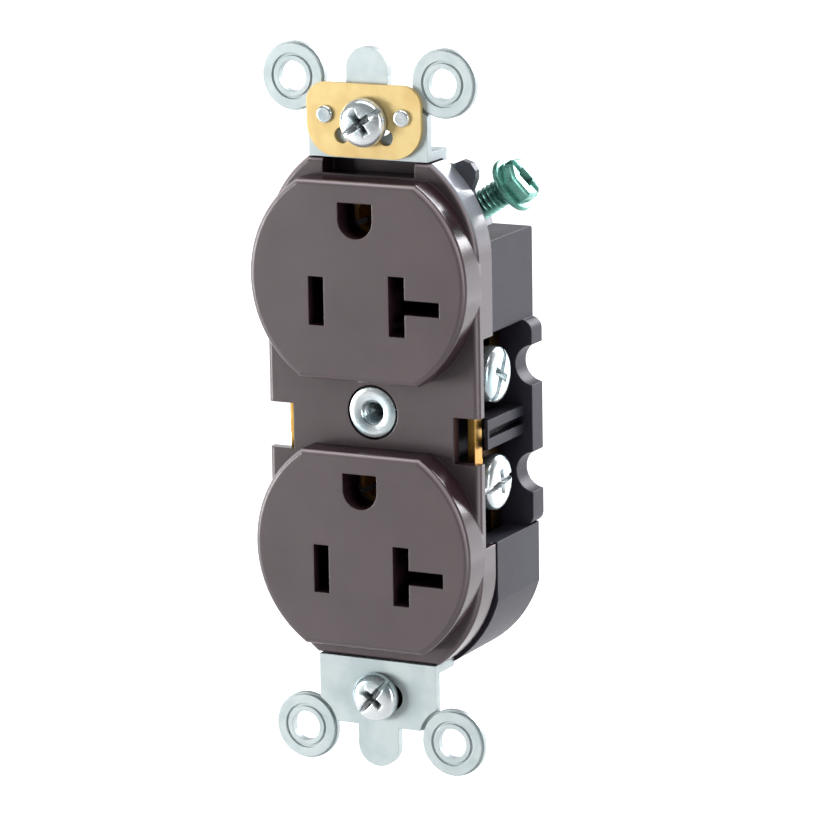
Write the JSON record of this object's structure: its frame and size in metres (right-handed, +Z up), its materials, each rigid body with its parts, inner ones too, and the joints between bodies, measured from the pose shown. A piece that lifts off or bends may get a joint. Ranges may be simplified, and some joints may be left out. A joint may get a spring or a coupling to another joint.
{
  "type": "duplex wall outlet",
  "caption": "Duplex wall outlet with rounded grounded faces, plated strap with ears and screws, side wire terminals and an angled ground screw.",
  "frame": {"origin": "on the centre screw's axis, in the rear plane of the strap's ears, which is the wall plane", "axes": "+X to the right seen from the front, +Y into the wall, +Z up"},
  "size_m": [0.0395, 0.0245, 0.1048],
  "materials": {
    "brown_cover": "semi-gloss moulded brown thermoplastic",
    "dark_body": "satin moulded grey-brown thermoplastic",
    "zinc_steel": "pale zinc-plated steel",
    "bright_steel": "bright plated steel",
    "yellow_brass": "polished spring brass",
    "contact_brass": "dull brass",
    "brass_screw": "brass-plated screw",
    "green_steel": "green-dyed plated steel",
    "retainer_fibre": "dark grey vulcanised fibre"
  },
  "bodies": {
    "outlet": {"front_cover": "brown_cover", "back_body": "dark_body", "mounting_strap": "zinc_steel", "self_grounding_clip": "yellow_brass", "clip_rivets": "bright_steel", "center_eyelet": "bright_steel", "neutral_contact_strip": "contact_brass", "hot_contact_strip": "contact_brass", "ground_contact_upper": "contact_brass", "ground_contact_lower": "contact_brass", "ground_contact_rivets": "contact_brass", "assembly_screws": "bright_steel"},
    "upper_neutral_clamp": {"upper_neutral_wire_clamp": "bright_steel"},
    "upper_neutral_screw": {"upper_neutral_terminal_screw": "bright_steel"},
    "lower_neutral_clamp": {"lower_neutral_wire_clamp": "bright_steel"},
    "lower_neutral_screw": {"lower_neutral_terminal_screw": "bright_steel"},
    "upper_hot_clamp": {"upper_hot_wire_clamp": "contact_brass"},
    "upper_hot_screw": {"upper_hot_terminal_screw": "brass_screw"},
    "lower_hot_clamp": {"lower_hot_wire_clamp": "contact_brass"},
    "lower_hot_screw": {"lower_hot_terminal_screw": "brass_screw"},
    "ground_screw": {"ground_screw": "green_steel"},
    "upper_mounting_screw": {"upper_mounting_screw": "bright_steel"},
    "lower_retainer": {"lower_screw_retainer": "retainer_fibre"},
    "lower_mounting_screw": {"lower_mounting_screw": "bright_steel"}
  },
  "joints": [
    {"name": "upper_neutral_clamp_slide", "type": "slide", "parent": "outlet", "child": "upper_neutral_clamp", "axis": [1, 0, 0], "range_m": [0, 0.00159]},
    {"name": "upper_neutral_screw_turn", "type": "hinge", "parent": "upper_neutral_clamp", "child": "upper_neutral_screw", "pos_m": [0.0149, 0.0077, 0.005], "axis": [1, 0, 0], "range_deg": [0, 720]},
    {"name": "lower_neutral_clamp_slide", "type": "slide", "parent": "outlet", "child": "lower_neutral_clamp", "axis": [1, 0, 0], "range_m": [0, 0.00159]},
    {"name": "lower_neutral_screw_turn", "type": "hinge", "parent": "lower_neutral_clamp", "child": "lower_neutral_screw", "pos_m": [0.0149, 0.0077, -0.0107], "axis": [1, 0, 0], "range_deg": [0, 720]},
    {"name": "upper_hot_clamp_slide", "type": "slide", "parent": "outlet", "child": "upper_hot_clamp", "axis": [-1, 0, 0], "range_m": [0, 0.00159]},
    {"name": "upper_hot_screw_turn", "type": "hinge", "parent": "upper_hot_clamp", "child": "upper_hot_screw", "pos_m": [-0.0149, 0.0077, 0.005], "axis": [-1, 0, 0], "range_deg": [0, 720]},
    {"name": "lower_hot_clamp_slide", "type": "slide", "parent": "outlet", "child": "lower_hot_clamp", "axis": [-1, 0, 0], "range_m": [0, 0.00159]},
    {"name": "lower_hot_screw_turn", "type": "hinge", "parent": "lower_hot_clamp", "child": "lower_hot_screw", "pos_m": [-0.0149, 0.0077, -0.0107], "axis": [-1, 0, 0], "range_deg": [0, 720]},
    {"name": "ground_screw_turn", "type": "hinge", "parent": "outlet", "child": "ground_screw", "pos_m": [0.01505, 0.0069, 0.03024], "axis": [0.8387, 0, 0.5446], "continuous": true},
    {"name": "upper_mounting_screw_turn", "type": "hinge", "parent": "outlet", "child": "upper_mounting_screw", "pos_m": [0, 0, 0.04167], "axis": [0, -1, 0], "continuous": true},
    {"name": "lower_retainer_slide", "type": "slide", "parent": "outlet", "child": "lower_retainer", "axis": [1, 0, 0], "range_m": [-0.0021, 0.0021]},
    {"name": "lower_mounting_screw_turn", "type": "hinge", "parent": "lower_retainer", "child": "lower_mounting_screw", "pos_m": [0, 0, -0.04167], "axis": [0, -1, 0], "continuous": true}
  ],
  "couplings": [
    {"joint": "upper_neutral_screw_turn", "follows": "upper_neutral_clamp_slide", "rad_per_m": 7913.3},
    {"joint": "lower_neutral_screw_turn", "follows": "lower_neutral_clamp_slide", "rad_per_m": 7913.3},
    {"joint": "upper_hot_screw_turn", "follows": "upper_hot_clamp_slide", "rad_per_m": 7913.3},
    {"joint": "lower_hot_screw_turn", "follows": "lower_hot_clamp_slide", "rad_per_m": 7913.3}
  ]
}
